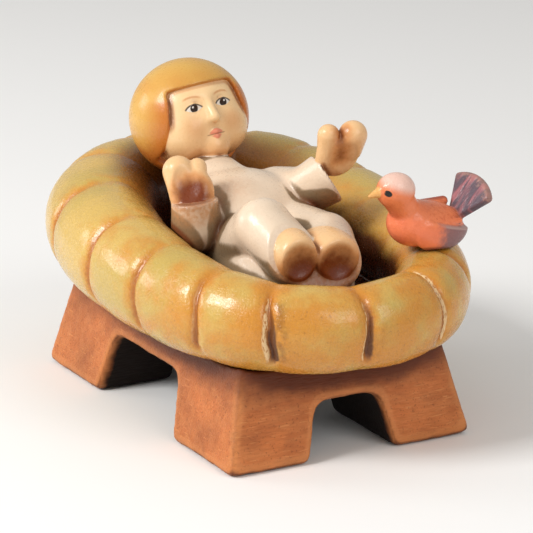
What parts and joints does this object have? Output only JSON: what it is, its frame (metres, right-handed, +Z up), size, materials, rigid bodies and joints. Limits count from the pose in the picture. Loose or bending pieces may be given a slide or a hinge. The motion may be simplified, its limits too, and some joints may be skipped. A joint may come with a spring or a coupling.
{
  "type": "carved nativity infant in a straw nest",
  "caption": "Carved and painted wooden infant lying in an oval straw nest on a low four-legged stand, with a small bird on the rim.",
  "frame": {"origin": "on the ground, under the middle of the nest's outline", "axes": "+X from the infant's head towards its feet, +Z up, +Y to the side where the bird sits"},
  "size_m": [0.0919, 0.0649, 0.0564],
  "materials": {
    "stand": "carved limewood with a red-brown stain, satin, worn lighter on its edges",
    "straw": "carved wood with a golden straw stain, darker in the cuts, satin varnish",
    "infant": "carved wood painted off-white, skin and golden hair, brown patina in the hollows, satin varnish",
    "bird": "carved wood painted coral with grey-blue wing tips and tail, glossy varnish"
  },
  "bodies": {
    "root": {"stand": "stand", "straw_nest": "straw", "infant": "infant", "bird": "bird"}
  },
  "joints": []
}
